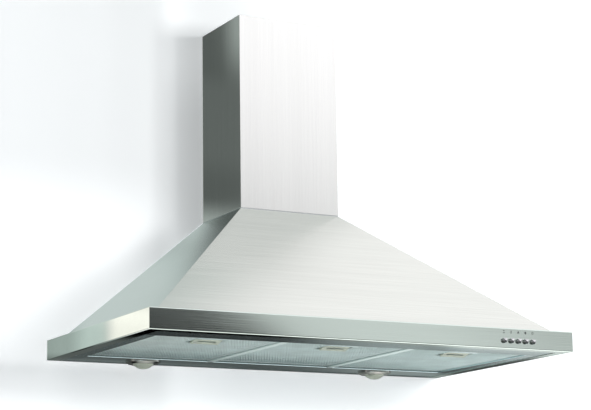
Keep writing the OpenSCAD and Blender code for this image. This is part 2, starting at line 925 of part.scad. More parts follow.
// A half disc in front of the pin with two knuckles at the given places
module flap(places) {
    edge = knuckle_r + knuckle_room;
    difference() {
        union() {
            intersection() {
                translate([0, 0, -flap_t / 2]) cylinder(h = flap_t, r = flap_r);
                box([-flap_r, -flap_r, -flap_t], [flap_r, -edge, flap_t]);
            }
            for (x = places) {
                rod_x([x - knuckle_l / 2, 0, 0], knuckle_l, knuckle_r);
                box([x - knuckle_l / 2, -edge - cut, -flap_t / 2],
                    [x + knuckle_l / 2, 0, flap_t / 2]);
            }
        }
        rod_x([-flap_r, 0, 0], 2 * flap_r, pin_r + pin_gap);
    }
}

module flap_front() {
    color(plastic) at_duct() translate([0, 0, pin_z]) flap(knuckle_places);
}

module flap_rear() {
    color(plastic) at_duct() translate([0, 0, pin_z]) rotate([0, 0, 180]) flap(knuckle_places);
}

// Chimney
module cover(half_w, depth, back, height) {
    box([-half_w, -depth, 0], [half_w, sheet - depth, height]);
    both_sides() box([half_w - sheet, -depth, 0], [half_w, -back, height]);
}

module lower_cover() {
    color(steel) at_underside() translate([0, 0, cover_z])
        cover(neck_x, neck_y, 0, lower_cover_h);
}

module upper_cover() {
    inset = sheet + nest_gap;
    color(steel) at_underside() translate([0, 0, cover_z + seat_gap])
        cover(neck_x - inset, neck_y - inset, cover_back, upper_cover_h);
}

module chimney_bracket() {
    half = neck_x - sheet;
    bottom = cover_top_z - bracket_drop - bracket_h;
    color(dull_steel) at_underside() difference() {
        union() {
            box([-half, -bracket_t, bottom], [half, 0, bottom + bracket_h]);
            both_sides() box([half - bracket_t, -bracket_ear, bottom],
                [half, 0, bottom + bracket_h]);
        }
        both_sides() rod_y([bracket_hole_w / 2, -bracket_t - cut, bottom + bracket_h / 2],
            bracket_t + 2 * cut, bracket_hole_r);
    }
}

// Electrics
module transformer() {
    core = 4;
    color(plastic) at_underside() translate([0, opening_rear / 2, tray_z + sheet]) {
        box([-transformer_w / 2, -transformer_d / 2, 0],
            [transformer_w / 2, transformer_d / 2, core]);
        box([core - transformer_w / 2, core - transformer_d / 2, core],
            [transformer_w / 2 - core, transformer_d / 2 - core, transformer_h]);
    }
}

module terminal_box() {
    left = hang_w / 2 + 3 * hang_r;
    bottom = 1.5 * rim_h;
    lid = 3;
    lip = 1;
    color(plastic) at_underside() {
        box([left, lid - sheet - terminal_d, bottom],
            [left + terminal_w, -sheet, bottom + terminal_h]);
        box([left - lip, -sheet - terminal_d, bottom - lip],
            [left + terminal_w + lip, lid - sheet - terminal_d, bottom + terminal_h + lip]);
    }
}

module cable_gland() {
    nut_t = 4;
    dome = 12;
    dome_radius = gland_thread_r + 1;
    color(plastic) at_underside() translate([gland_x, duct_y, pyramid_top_z]) difference() {
        union() {
            rotate([0, 0, 30]) translate([0, 0, -nut_t]) cylinder(h = nut_t, r = gland_r, $fn = 6);
            translate([0, 0, -nut_t]) cylinder(h = nut_t + plate_t, r = gland_thread_r);
            rotate([0, 0, 30]) translate([0, 0, plate_t]) cylinder(h = nut_t, r = gland_r, $fn = 6);
            translate([0, 0, plate_t]) cylinder(h = nut_t + dome, r = dome_radius);
        }
        translate([0, 0, -nut_t - cut]) cylinder(h = 3 * dome, r = gland_bore_r);
    }
}

rim_band();
pyramid_front();
pyramid_left();
pyramid_right();
back_panel();
front_rail();
rear_rail();
left_rail();
right_rail();
left_divider();
right_divider();
top_plate();
housing_left();
housing_right();
motor();
motor_bracket();
motor_bushes();
motor_screws();
capacitor();
impeller();
motor_shaft();
outlet_collar();
collar_screws();
blower_screws();
flap_pin();
flap_front();
flap_rear();
lower_cover();
upper_cover();
chimney_bracket();
switch_block();
button(-2);  // button_off
button(-1);  // button_speed_1
button(0);  // button_speed_2
button(1);  // button_speed_3
button(2);  // button_light
transformer();
terminal_box();
cable_gland();
lamp_housing(-1);  // lamp_housing_left
lamp_housing(1);  // lamp_housing_right
lamp_bulb(-1);  // lamp_bulb_left
lamp_bulb(1);  // lamp_bulb_right
lamp_bezel(-1);  // lamp_bezel_left
lamp_bezel(1);  // lamp_bezel_right
lamp_lens(-1);  // lamp_lens_left
lamp_lens(1);  // lamp_lens_right
filter_frame(-1);  // filter_frame_left
filter_frame(0);  // filter_frame_middle
filter_frame(1);  // filter_frame_right
filter_mesh(-1);  // filter_mesh_left
filter_mesh(0);  // filter_mesh_middle
filter_mesh(1);  // filter_mesh_right
filter_latch(-1);  // filter_latch_left
filter_latch(0);  // filter_latch_middle
filter_latch(1);  // filter_latch_right
latch_springs(-1);  // latch_springs_left
latch_springs(0);  // latch_springs_middle
latch_springs(1);  // latch_springs_right
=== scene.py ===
"""Looks of a wall-mounted pyramid range hood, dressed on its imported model.

All lengths are in metres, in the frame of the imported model: the origin is the
centre of the wall holes, +X is to the right, +Y into the wall and +Z up.
"""

import json
import logging
import math
from dataclasses import dataclass, field
from enum import Enum
from typing import Callable, Dict, List, Optional, Sequence, Tuple, Union

import bpy
from bpy.types import Material, NodeSocket, NodeTree, Object
from mathutils import Matrix, Vector

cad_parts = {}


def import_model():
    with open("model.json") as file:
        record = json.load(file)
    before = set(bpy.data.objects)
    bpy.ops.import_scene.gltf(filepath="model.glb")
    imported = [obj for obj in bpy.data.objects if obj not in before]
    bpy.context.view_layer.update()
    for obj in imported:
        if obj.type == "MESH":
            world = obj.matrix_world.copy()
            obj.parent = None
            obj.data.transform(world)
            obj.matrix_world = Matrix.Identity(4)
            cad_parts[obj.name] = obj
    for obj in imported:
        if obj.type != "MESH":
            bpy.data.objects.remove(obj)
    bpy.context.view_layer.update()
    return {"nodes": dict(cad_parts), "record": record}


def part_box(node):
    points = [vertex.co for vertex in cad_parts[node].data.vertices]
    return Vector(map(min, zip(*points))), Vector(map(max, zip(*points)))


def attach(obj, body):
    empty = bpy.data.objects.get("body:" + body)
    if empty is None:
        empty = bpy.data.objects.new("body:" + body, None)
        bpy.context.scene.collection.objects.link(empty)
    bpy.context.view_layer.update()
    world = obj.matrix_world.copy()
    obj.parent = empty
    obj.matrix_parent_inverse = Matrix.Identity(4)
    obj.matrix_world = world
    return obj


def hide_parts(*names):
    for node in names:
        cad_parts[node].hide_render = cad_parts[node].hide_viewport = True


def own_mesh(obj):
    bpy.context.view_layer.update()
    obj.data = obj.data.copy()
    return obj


LOG = logging.getLogger("range_hood")
MM = 0.001

Triple = Tuple[float, float, float]
Box = Tuple[Vector, Vector]
Patch = Tuple[Union[float, Tuple[int, float, float]], ...]
Finishes = Dict[str, Material]
EVEN: Triple = (1.0, 1.0, 1.0)
DARK: Triple = (0.02, 0.02, 0.02)
# The wall and the floor are clear to anything nearer
NEAR = 4 * MM
# Sharper edges are rounded, and flatter ones dissolved
SHARP = math.radians(35.0)
FLAT = math.radians(0.5)
# Edges that bend less look smooth, on a rolled sheet and on a plain one
SMOOTH_ROLLED = math.radians(30.0)
SMOOTH_PLAIN = math.radians(12.0)
# The filter frames' drain slots, and the depth past which the frames are painted dark, as painted
# shade in their hollows
DRAIN_INSET = 4 * MM
FRAME_DEPTH = 5.5 * MM
# Nearer points are merged, and nearer places are the same
MERGE = 1e-6
SAME = 1e-5


class Grain(Enum):
    """The way a sheet's brushing runs, as noise scales along X, Y and Z."""

    ACROSS = (5.0, 620.0, 620.0)
    DEEP = (620.0, 5.0, 620.0)
    UPRIGHT = (620.0, 620.0, 5.0)


class Side(Enum):
    """The three filter bays, each with the sign of its place along X."""

    LEFT = -1
    MIDDLE = 0
    RIGHT = 1

    @property
    def word(self) -> str:
        """The side's name in lower case."""
        return self.name.lower()


# Shader maths


def operator(operation: str, swapped: bool = False) -> Callable[["Term", "Value"], "Term"]:
    """Makes an operator of Term out of a Math node's operation.

    Args:
        operation: The Math node's operation.
        swapped: Whether the other value comes first.

    Returns:
        The method.
    """
    def method(self: "Term", other: "Value") -> "Term":
        """Joins this value with another."""
        return self.join(operation, *((other, self) if swapped else (self, other)))

    return method


class Term:
    """A value socket that takes part in Python arithmetic.

    Here | gives the greater value, & the lesser one and % the remainder, and < gives
    one where it holds.
    """

    def __init__(self, tree: NodeTree, socket: NodeSocket) -> None:
        """Wraps a socket.

        Args:
            tree: The node tree that the socket belongs to.
            socket: The output socket that gives the value.
        """
        self.tree = tree
        self.socket = socket

    def join(self, operation: str, first: "Value", second: "Value") -> "Term":
        """Adds a Math node.

        Args:
            operation: The Math node's operation.
            first: The first value.
            second: The second value.

        Returns:
            The node's result.
        """
        node = self.tree.nodes.new("ShaderNodeMath")
        node.operation = operation
        for socket, value in zip(node.inputs, (first, second)):
            if isinstance(value, Term):
                self.tree.links.new(value.socket, socket)
            else:
                socket.default_value = value
        return Term(self.tree, node.outputs[0])

    __add__ = operator("ADD")
    __radd__ = operator("ADD", swapped=True)
    __sub__ = operator("SUBTRACT")
    __rsub__ = operator("SUBTRACT", swapped=True)
    __mul__ = operator("MULTIPLY")
    __rmul__ = operator("MULTIPLY", swapped=True)
    __lt__ = operator("LESS_THAN")
    __or__ = operator("MAXIMUM")
    __and__ = operator("MINIMUM")
    __mod__ = operator("FLOORED_MODULO")

    def __abs__(self) -> "Term":
        """This value without its sign."""
        return self.join("ABSOLUTE", self, 0.0)


Value = Union[Term, float]


class Shading:
    """A material's or a world's node tree, with one method that adds any node."""

    def __init__(self, tree: NodeTree) -> None:
        """Empties a node tree.

        Args:
            tree: The tree to fill.
        """
        self.tree = tree
        self.tree.nodes.clear()

    def node(self, kind: str, settings: Optional[Dict[str, object]] = None,
             sockets: Optional[Dict[Union[int, str], object]] = None,
             output: Union[int, str] = 0) -> Term:
        """Adds a node.

        Args:
            kind: The node's type, without the leading ShaderNode.
            settings: Its settings.
            sockets: A value or a Term for each input, by name or index.
            output: The output to give back.

        Returns:
            The chosen output.
        """
        node = self.tree.nodes.new("ShaderNode" + kind)
        for name, value in (settings or {}).items():
            setattr(node, name, value)
        for name, value in (sockets or {}).items():
            socket = node.inputs[name]
            if isinstance(value, Term):
                self.tree.links.new(value.socket, socket)
            else:
                socket.default_value = value
        return Term(self.tree, node.outputs[output] if len(node.outputs) else None)

    def axes(self, source: str = "Object") -> Tuple[Term, Term, Term]:
        """The three coordinates of a point, from the given texture coordinate."""
        split = self.node("SeparateXYZ", sockets={0: self.node("TexCoord", output=source)})
        return tuple(Term(self.tree, out) for out in split.socket.node.outputs)

    def noise(self, scales: Triple = EVEN, detail: float = 2.0, size: float = 1.0) -> Term:
        """Noise over the object's own coordinates.

        Args:
            scales: How often it changes along X, Y and Z.
            detail: How many finer layers it has.
            size: The noise node's own scale.

        Returns:
            Its value, about a half on average.
        """
        at = self.node("Mapping", sockets={
            "Vector": self.node("TexCoord", output="Object"), "Scale": scales})
        return self.node("TexNoise", sockets={"Vector": at, "Scale": size, "Detail": detail})

    def blend(self, share: Value, first: Union[Term, Triple], second: Union[Term, Triple]) -> Term:
        """Mixes two colours.

        Args:
            share: The second colour's share.
            first: The colour at nought.
            second: The colour at one.

        Returns:
            The mixed colour.
        """
        def four(colour: Union[Term, Triple]) -> object:
            """A colour with its alpha, or the Term as it is."""
            return colour if isinstance(colour, Term) else (*colour, 1.0)

        return self.node("Mix", {"data_type": "RGBA", "clamp_factor": True},
                         {0: share, 6: four(first), 7: four(second)}, output=2)

    def patches(self, axes: Sequence[Term], parts: Sequence[Patch]) -> Term:
        """Adds up patches with soft edges.

        Args:
            axes: The values that the edges are along.
            parts: The amount of each patch, then its edges as axis number, start and end.

        Returns:
            The sum.
        """
        total: Value = 0.0
        for amount, *edges in parts:
            patch: Value = amount
            for axis, start, end in edges:
                patch = self.step(axes[axis], start, end) * patch
            total = patch + total
        return total

    def step(self, value: Term, low: float, high: float) -> Term:
        """A soft step.

        Args:
            value: What is measured.
            low: Where the step starts.
            high: Where it ends.

        Returns:
            Nought below the step and one above it.
        """
        return self.node("MapRange", {"interpolation_type": "SMOOTHSTEP"},
                         {"Value": value, "From Min": low, "From Max": high})


class Surface(Shading):
    """A new material with one Principled shader."""

    def __init__(self, name: str) -> None:
        """Makes the material.

        Args:
            name: The material's name.
        """
        self.material = bpy.data.materials.new(name)
        self.material.use_nodes = True
        super().__init__(self.material.node_tree)

    def finish(self, **sockets: object) -> Material:
        """Adds the Principled shader and the output.

        Args:
            sockets: The shader's inputs, with underscores for spaces.

        Returns:
            The finished material.
        """
        named = {key.replace("_", " "): value for key, value in sockets.items()}
        shader = self.node("BsdfPrincipled", sockets=named)
        self.node("OutputMaterial", sockets={"Surface": shader})
        return self.material

    def bump(self, height: Term, strength: float, distance: float) -> Term:
        """A bumped normal.

        Args:
            height: The height, from nought to one.
            strength: How strongly it shows.
            distance: The depth of one step of height.

        Returns:
            The normal.
        """
        return self.node("Bump", sockets={
            "Height": height, "Strength": strength, "Distance": distance})


# Finishes


def times(triple: Triple, share: float) -> Triple:
    """Three numbers, each times a share."""
    return tuple(value * share for value in triple)


@dataclass(frozen=True)
class BrushedSteel:
    """Stainless sheet brushed in one direction, with a faint unevenness."""

    name: str
    tone: Triple = (0.80, 0.82, 0.795)
    grain: Grain = Grain.ACROSS
    roughness: float = 0.22
    streak: float = 0.03
    depth: float = 0.00001

    def material(self) -> Material:
        """Makes the finish.

        Returns:
            The material.
        """
        s = Surface(self.name)
        fine = s.noise(self.grain.value, detail=3.0)
        broad = s.noise(times(self.grain.value, 0.06), detail=1.0)
        cloud = s.noise((3.0, 3.0, 3.0), detail=2.0)
        dark = times(self.tone, 1.0 - 2.4 * self.streak)
        shade = fine * 0.6 + broad * 0.15 + cloud * 0.25
        return s.finish(
            Base_Color=s.blend(s.step(shade, 0.35, 0.65), dark, self.tone), Metallic=1.0,
            Roughness=fine * 0.10 + cloud * 0.04 + (self.roughness - 0.07),
            Normal=s.bump(fine, 0.25, self.depth))


@dataclass(frozen=True)
class Aluminium:
    """Aluminium with a fine dull skin and light rubbing.

    A row of drain slots, painted near black as painted shade inside them, can lie at drain_y, and
    all above dim_above is painted dark, as painted shade in the frame's hollows.
    """

    name: str
    tone: Triple = (0.74, 0.78, 0.78)
    roughness: float = 0.34
    drain_y: Optional[float] = None
    drain_pitch: float = 5 * MM
    drain_half: Tuple[float, float] = (1.1 * MM, 3.4 * MM)
    dim_step: float = 0.5 * MM
    dim_above: Optional[float] = None

    def material(self) -> Material:
        """Makes the finish, with a row of drain slots where one is given.

        Returns:
            The material.
        """
        s = Surface(self.name)
        skin = s.noise(detail=4.0, size=420.0)
        worn = s.noise(detail=3.0, size=18.0)
        colour = s.blend(s.step(worn, 0.35, 0.7), times(self.tone, 0.9), self.tone)
        height = skin * 0.2
        if self.drain_y is not None:
            hole = self._drains(s)
            # The slots are painted near black, as painted shade inside them, and pressed in by the
            # bump
            colour = s.blend(hole, colour, times(self.tone, 0.08))
            height = height - hole
        if self.dim_above is not None:
            deep = s.step(s.axes()[2], self.dim_above - self.dim_step,
                          self.dim_above + self.dim_step)
            # Above dim_above the frame is painted dark: painted shade in the latch's pocket and
            # the frame's hollows
            colour = s.blend(deep, colour, times(self.tone, 0.06))
        return s.finish(Base_Color=colour, Metallic=1.0,
                        Roughness=skin * 0.08 + worn * 0.08 + (self.roughness - 0.08),
                        Normal=s.bump(height, 0.3, 0.0002))

    def _drains(self, s: Surface) -> Term:
        """A mask of short slots in a row along X.

        Args:
            s: The material's nodes.

        Returns:
            One inside a slot.
        """
        x, y, _ = s.axes()
        along = abs(x % self.drain_pitch - self.drain_pitch / 2) < self.drain_half[0]
        return along & (abs(y - self.drain_y) < self.drain_half[1])


@dataclass(frozen=True)
class LayeredMesh:
    """The deeper layers of a mesh pack, as a crossed weave of pale strands with painted shade
    between them.
    """

    name: str
    light: Triple = (0.84, 0.97, 0.97)
    # The painted shade between the strands
    dark: Triple = (0.34, 0.41, 0.42)
    pitch: Tuple[float, float] = (5.2 * MM, 3.4 * MM)

    def material(self) -> Material:
        """Makes the finish.

        Returns:
            The material.
        """
        s = Surface(self.name)
        x, y, _ = s.axes()
        across = abs(x % self.pitch[0] - self.pitch[0] / 2) * (2.0 / self.pitch[0])
        along = abs(y % self.pitch[1] - self.pitch[1] / 2) * (2.0 / self.pitch[1])
        strand = s.step(abs(across + along - 1.0), 0.45, 0.2)
        haze = s.noise(detail=3.0, size=30.0)
        # Pale strands are the weave's pattern; the dark between them is painted shade of the
        # layers further in
        return s.finish(Base_Color=s.blend(strand * 0.8 + haze * 0.25, self.dark, self.light),
                        Metallic=0.9, Roughness=haze * 0.1 + 0.4,
                        Normal=s.bump(strand, 0.5, 0.0004))


@dataclass(frozen=True)
class Polished:
    """Chromed or ground metal with only a trace of handling."""

    name: str
    tone: Triple
    roughness: float

    def material(self) -> Material:
        """Makes the finish.

        Returns:
            The material.
        """
        s = Surface(self.name)
        smear = s.noise(detail=4.0, size=160.0)
        return s.finish(
            Base_Color=s.blend(smear, times(self.tone, 0.96), self.tone),
            Metallic=1.0, Roughness=smear * 0.06 + (self.roughness - 0.03),
            Normal=s.bump(smear, 0.04, 0.0001))


@dataclass(frozen=True)
class Spangled:
    """Zinc-coated sheet, with the flakes of its coating."""

    name: str
    tone: Triple = (0.62, 0.65, 0.66)
    flake: float = 140.0

    def material(self) -> Material:
        """Makes the finish.

        Returns:
            The material.
        """
        s = Surface(self.name)
        cell = s.node("TexVoronoi", {"feature": "F1"}, {
            "Vector": s.node("TexCoord", output="Object"), "Scale": self.flake}, output=1)
        grey = s.node("SeparateColor", sockets={0: cell})
        fine = s.noise(detail=3.0, size=500.0)
        return s.finish(
            Base_Color=s.blend(grey, times(self.tone, 0.8), self.tone),
            Metallic=1.0, Roughness=grey * 0.15 + 0.32, Normal=s.bump(fine, 0.15, 0.0001))


@dataclass(frozen=True)
class Moulded:
    """Moulded plastic or rubber with a spark-eroded texture."""

    name: str
    tone: Triple = (0.045, 0.048, 0.052)
    roughness: float = 0.5
    texture: float = 900.0
    strength: float = 0.25

    def material(self) -> Material:
        """Makes the finish.

        Returns:
            The material.
        """
        s = Surface(self.name)
        pit = s.noise(detail=4.0, size=self.texture)
        dust = s.noise(detail=3.0, size=25.0)
        pale = tuple(c * 1.12 + 0.012 for c in self.tone)
        return s.finish(Base_Color=s.blend(s.step(dust, 0.4, 0.75), self.tone, pale),
                        Roughness=pit * 0.12 + (self.roughness - 0.06),
                        Normal=s.bump(pit, self.strength, 0.0002))


@dataclass(frozen=True)
class Glass:
    """Pressed lamp glass, clear or frosted, with painted shade towards its grazing rim."""

    name: str
    tone: Triple = (0.96, 1.0, 0.84)
    roughness: float = 0.4
    clear: float = 0.2
    # The colour of the painted shade along the rim
    edge: Triple = (0.22, 0.23, 0.20)

    def material(self) -> Material:
        """Makes the finish.

        Returns:
            The material.
        """
        s = Surface(self.name)
        frost = s.noise(detail=4.0, size=700.0)
        cloud = s.noise(detail=2.0, size=60.0)
        # Where the glass turns away from view its colour goes to the edge colour: painted shade
        # along its rim
        grazing_shade = s.step(s.node("LayerWeight", sockets={"Blend": 0.5}, output="Facing"), 0.74, 0.96)
        pale = s.blend(cloud, times(self.tone, 0.93), self.tone)
        return s.finish(
            Base_Color=s.blend(grazing_shade, pale, self.edge),
            Roughness=frost * 0.1 + (self.roughness - 0.05), Transmission_Weight=self.clear,
            IOR=1.5, Normal=s.bump(frost, 0.1 if self.roughness > 0.2 else 0.01, 0.0001))


# Building tools


def set_mode(mode: str) -> None:
    """Changes the active object's mode."""
    bpy.ops.object.mode_set(mode=mode)


def choose(obj: Object) -> None:
    """Makes an object the only selected and active one.

    Args:
        obj: The object.
    """
    if bpy.context.object and bpy.context.object.mode != "OBJECT":
        set_mode("OBJECT")
    bpy.ops.object.select_all(action="DESELECT")
    obj.select_set(True)
    bpy.context.view_layer.objects.active = obj


def open_all() -> None:
    """Opens the active object in edit mode with everything selected."""
    set_mode("EDIT")
    bpy.ops.mesh.select_all(action="SELECT")


def pick(obj: Object, test: Callable[[Vector], bool]) -> None:
    """Selects the faces that pass a test, and stays in edit mode.

    Args:
        obj: The object being edited.
        test: Takes a face's centre.
    """
    set_mode("OBJECT")
    for face in obj.data.polygons:
        face.select = test(face.center)
    set_mode("EDIT")


def closed(obj: Object, smooth_deg: float = 30.0) -> Object:
    """Ends a piece: merges doubles, turns its faces out, applies its place and smooths it.

    Args:
        obj: The piece.
        smooth_deg: The angle above which an edge stays sharp.

    Returns:
        The same piece.
    """
    choose(obj)
    open_all()
    bpy.ops.mesh.remove_doubles(threshold=MERGE)
    bpy.ops.mesh.normals_make_consistent(inside=False)
    set_mode("OBJECT")
    bpy.ops.object.transform_apply(location=True, rotation=True, scale=True)
    bpy.ops.object.shade_smooth_by_angle(angle=math.radians(smooth_deg))
    return obj


def paint(obj: Object, material: Material) -> None:
    """Gives an object one material in all its slots.

    Args:
        obj: The object.
        material: The material.
    """
    if not obj.material_slots:
        obj.data.materials.append(material)
    for slot in obj.material_slots:
        slot.material = material


def modify(obj: Object, kind: str, **settings: object) -> None:
    """Adds a modifier and applies it.

    Args:
        obj: The object, which becomes the chosen one.
        kind: The modifier's type.
        settings: Its settings.
    """
    choose(obj)
    modifier = obj.modifiers.new(kind.lower(), kind)
    for name, value in settings.items():
        setattr(modifier, name, value)
    bpy.ops.object.modifier_apply(modifier=modifier.name)


@dataclass(frozen=True)
class Fold:
    """The rolled outer corners of a folded sheet.

    Each corner is at one of the levels, which are heights, and at one of the sides, which
    are an axis and a place on it. It is rolled from start to end along the fold's axis.
    """

    radius: float
    levels: Tuple[float, ...]
    sides: Tuple[Tuple[int, float], ...]
    axis: int = 0
    start: float = -1.0
    end: float = 1.0

    def holds(self, a: Vector, b: Vector) -> bool:
        """Tells whether an edge is one that is rolled.

        Args:
            a: One end of the edge.
            b: The other end.

        Returns:
            Whether it lies at a corner and inside the rolled stretch.
        """
        level = any(max(abs(a.z - z), abs(b.z - z)) < SAME for z in self.levels)
        side = any(max(abs(a[axis] - at), abs(b[axis] - at)) < SAME for axis, at in self.sides)
        return level and side and self.inside(a, b)

    def inside(self, a: Vector, b: Vector) -> bool:
        """Whether an edge's middle lies inside the rolled stretch."""
        return self.start < (a[self.axis] + b[self.axis]) / 2 < self.end


@dataclass
class Dresser:
    """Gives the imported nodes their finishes, and keeps count of the pieces."""

    nodes: Dict[str, Object]
    body_of: Dict[str, str]
    made: List[str] = field(default_factory=list)

    def dress(self, names: Sequence[str], material: Material) -> None:
        """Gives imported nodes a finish.

        Args:
            names: The nodes.
            material: Their material.
        """
        for name in names:
            paint(self.nodes[name], material)
            LOG.info("node %s: %s", name, material.name)

    def soften(self, name: str, width: float, material: Material,
               fold: Optional[Fold] = None, cuts: Sequence[Box] = ()) -> None:
        """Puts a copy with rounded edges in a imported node's place.

        Args:
            name: The node.
            width: The width of the rounding.
            material: The copy's material.
            fold: Its rolled corners, if it has any.
            cuts: The lowest and highest corner of each hole to widen.
        """
        source = self.nodes[name]
        piece = source.copy()
        piece.data = source.data.copy()
        piece.name = name + "_folded"
        for key in list(piece.keys()):
            del piece[key]
        piece.parent = None
        bpy.context.scene.collection.objects.link(piece)
        choose(piece)
        bpy.ops.mesh.customdata_custom_splitnormals_clear()
        open_all()
        bpy.ops.mesh.remove_doubles(threshold=MERGE)
        bpy.ops.mesh.dissolve_limited(angle_limit=FLAT)
        set_mode("OBJECT")
        for low, high in cuts:
            self._cut(piece, low, high)
        if fold:
            self._roll(piece, fold, width)
        else:
            modify(piece, "BEVEL", width=width, segments=2, limit_method="ANGLE",
                   angle_limit=SHARP, use_clamp_overlap=True)
        paint(piece, material)
        bpy.ops.object.shade_smooth_by_angle(angle=SMOOTH_ROLLED if fold else SMOOTH_PLAIN)
        if fold:
            modify(piece, "WEIGHTED_NORMAL", keep_sharp=True, weight=100)
        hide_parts(name)
        self.keep(piece, self.body_of[name])

    @staticmethod
    def _cut(piece: Object, low: Vector, high: Vector) -> None:
        """Cuts a box out of a piece.

        Args:
            piece: The piece.
            low: The box's lowest corner.
            high: Its highest corner.
        """
        bpy.ops.object.select_all(action="DESELECT")
        bpy.ops.mesh.primitive_cube_add(size=1.0, location=(low + high) / 2)
        cutter = bpy.context.object
        cutter.scale = high - low
        bpy.ops.object.transform_apply(location=True, rotation=True, scale=True)
        modify(piece, "BOOLEAN", object=cutter, operation="DIFFERENCE", solver="EXACT")
        bpy.data.objects.remove(cutter, do_unlink=True)

    @staticmethod
    def _roll(piece: Object, fold: Fold, width: float) -> None:
        """Rolls a sheet's outer corners, then rounds its other edges more finely.

        Args:
            piece: The sheet.
            fold: The corners and their radius.
            width: The width of the rounding of the other edges.
        """
        def mark(wanted: Callable[[Vector, Vector, bool], bool]) -> None:
            """Selects the edges that pass a test.

            Args:
                wanted: Takes an edge's ends and whether it is selected now.
            """
            set_mode("OBJECT")
            points = piece.data.vertices
            for edge in piece.data.edges:
                a, b = (points[i].co for i in edge.vertices)
                edge.select = wanted(a, b, edge.select)
            set_mode("EDIT")

        normal = Vector([float(axis == fold.axis) for axis in range(3)])
        choose(piece)
        open_all()
        bpy.ops.mesh.select_mode(type="EDGE")
        for place in (fold.start, fold.end):
            bpy.ops.mesh.select_all(action="SELECT")
            bpy.ops.mesh.bisect(plane_co=normal * place, plane_no=normal)
        mark(lambda a, b, now: fold.holds(a, b))
        bpy.ops.mesh.bevel(offset=fold.radius, segments=4, profile=0.5, affect="EDGES")
        bpy.ops.mesh.select_all(action="DESELECT")
        bpy.ops.mesh.edges_select_sharp(sharpness=SHARP)
        mark(lambda a, b, now: now and fold.inside(a, b))
        bpy.ops.mesh.bevel(offset=width, segments=2, profile=0.5, affect="EDGES",
                           clamp_overlap=True)
        set_mode("OBJECT")

    def keep(self, piece: Object, body: str) -> None:
        """Lets a finished piece ride on a body.

        Args:
            piece: The piece.
            body: The body's name.
        """
        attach(piece, body)
        self.made.append(piece.name)
        LOG.info("piece %s on %s, %d faces", piece.name, body, len(piece.data.polygons))


# Sub-assemblies


@dataclass
class Canopy:
    """The rim, the pyramid and the sheets behind them."""

    fold: float = 0.45 * MM
    outer_fold: float = 2 * MM
    square_end: float = 3 * MM

    def build(self, dresser: Dresser) -> None:
        """Dresses the canopy's sheets.

        Args:
            dresser: Gives the finishes.
        """
        rim = BrushedSteel("steel_rim", tone=(0.80, 0.895, 0.84), roughness=0.08).material()
        front = BrushedSteel("steel_pyramid_front", roughness=0.20).material()
        sides = BrushedSteel("steel_pyramid_sides", tone=(0.80, 0.87, 0.86), grain=Grain.DEEP,
                             roughness=0.22).material()
        inner = BrushedSteel("steel_inner", tone=(0.60, 0.64, 0.64), roughness=0.3).material()
        low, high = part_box("rim_band")
        dresser.soften("rim_band", self.fold, rim, Fold(
            self.outer_fold, (low.z, high.z), ((0, low.x), (0, high.x), (1, low.y)),
            axis=1, end=high.y - self.square_end))
        dresser.dress(["pyramid_front"], front)
        dresser.dress(["pyramid_left", "pyramid_right"], sides)
        dresser.dress(["back_panel", "top_plate", "chimney_bracket", "motor_bracket"], inner)


@dataclass
class Chimney:
    """The two sliding covers over the duct."""

    fold: float = 0.45 * MM

    def build(self, dresser: Dresser) -> None:
        """Dresses the two covers.

        Args:
            dresser: Gives the finishes.
        """
        sheet = BrushedSteel("steel_chimney", grain=Grain.UPRIGHT, roughness=0.22,
                             tone=(0.785, 0.805, 0.775)).material()
        for name in ("lower_cover", "upper_cover"):
            dresser.soften(name, self.fold, sheet)


@dataclass
class Tray:
    """The strips round the filters."""

    fold: float = 0.3 * MM
    roll: float = 1.5 * MM
    square_end: float = 3 * MM
    tone: Triple = (0.57, 0.70, 0.72)

    def build(self, dresser: Dresser) -> None:
        """Dresses the tray's strips.

        Args:
            dresser: Gives the finishes.
        """
        across = BrushedSteel("steel_tray_across", tone=self.tone, roughness=0.14).material()
        deep = BrushedSteel("steel_tray_deep", tone=self.tone, grain=Grain.DEEP,
                            roughness=0.2).material()
        divider = BrushedSteel("steel_divider", tone=(0.84, 0.97, 0.96), grain=Grain.DEEP,
                               roughness=0.55).material()
        dresser.soften("front_rail", self.fold, across)
        for name in ("left_rail", "right_rail"):
            dresser.soften(name, self.fold, deep)
        low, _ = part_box("rear_rail")
        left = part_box("left_rail")[1].x + self.square_end
        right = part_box("right_rail")[0].x - self.square_end
        dresser.soften("rear_rail", self.fold, across, Fold(
            self.roll, (low.z,), ((1, low.y),), start=left, end=right))
        for name in ("left_divider", "right_divider"):
            low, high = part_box(name)
            dresser.soften(name, self.fold, divider, Fold(
                self.roll, (low.z,), ((0, low.x), (0, high.x))))


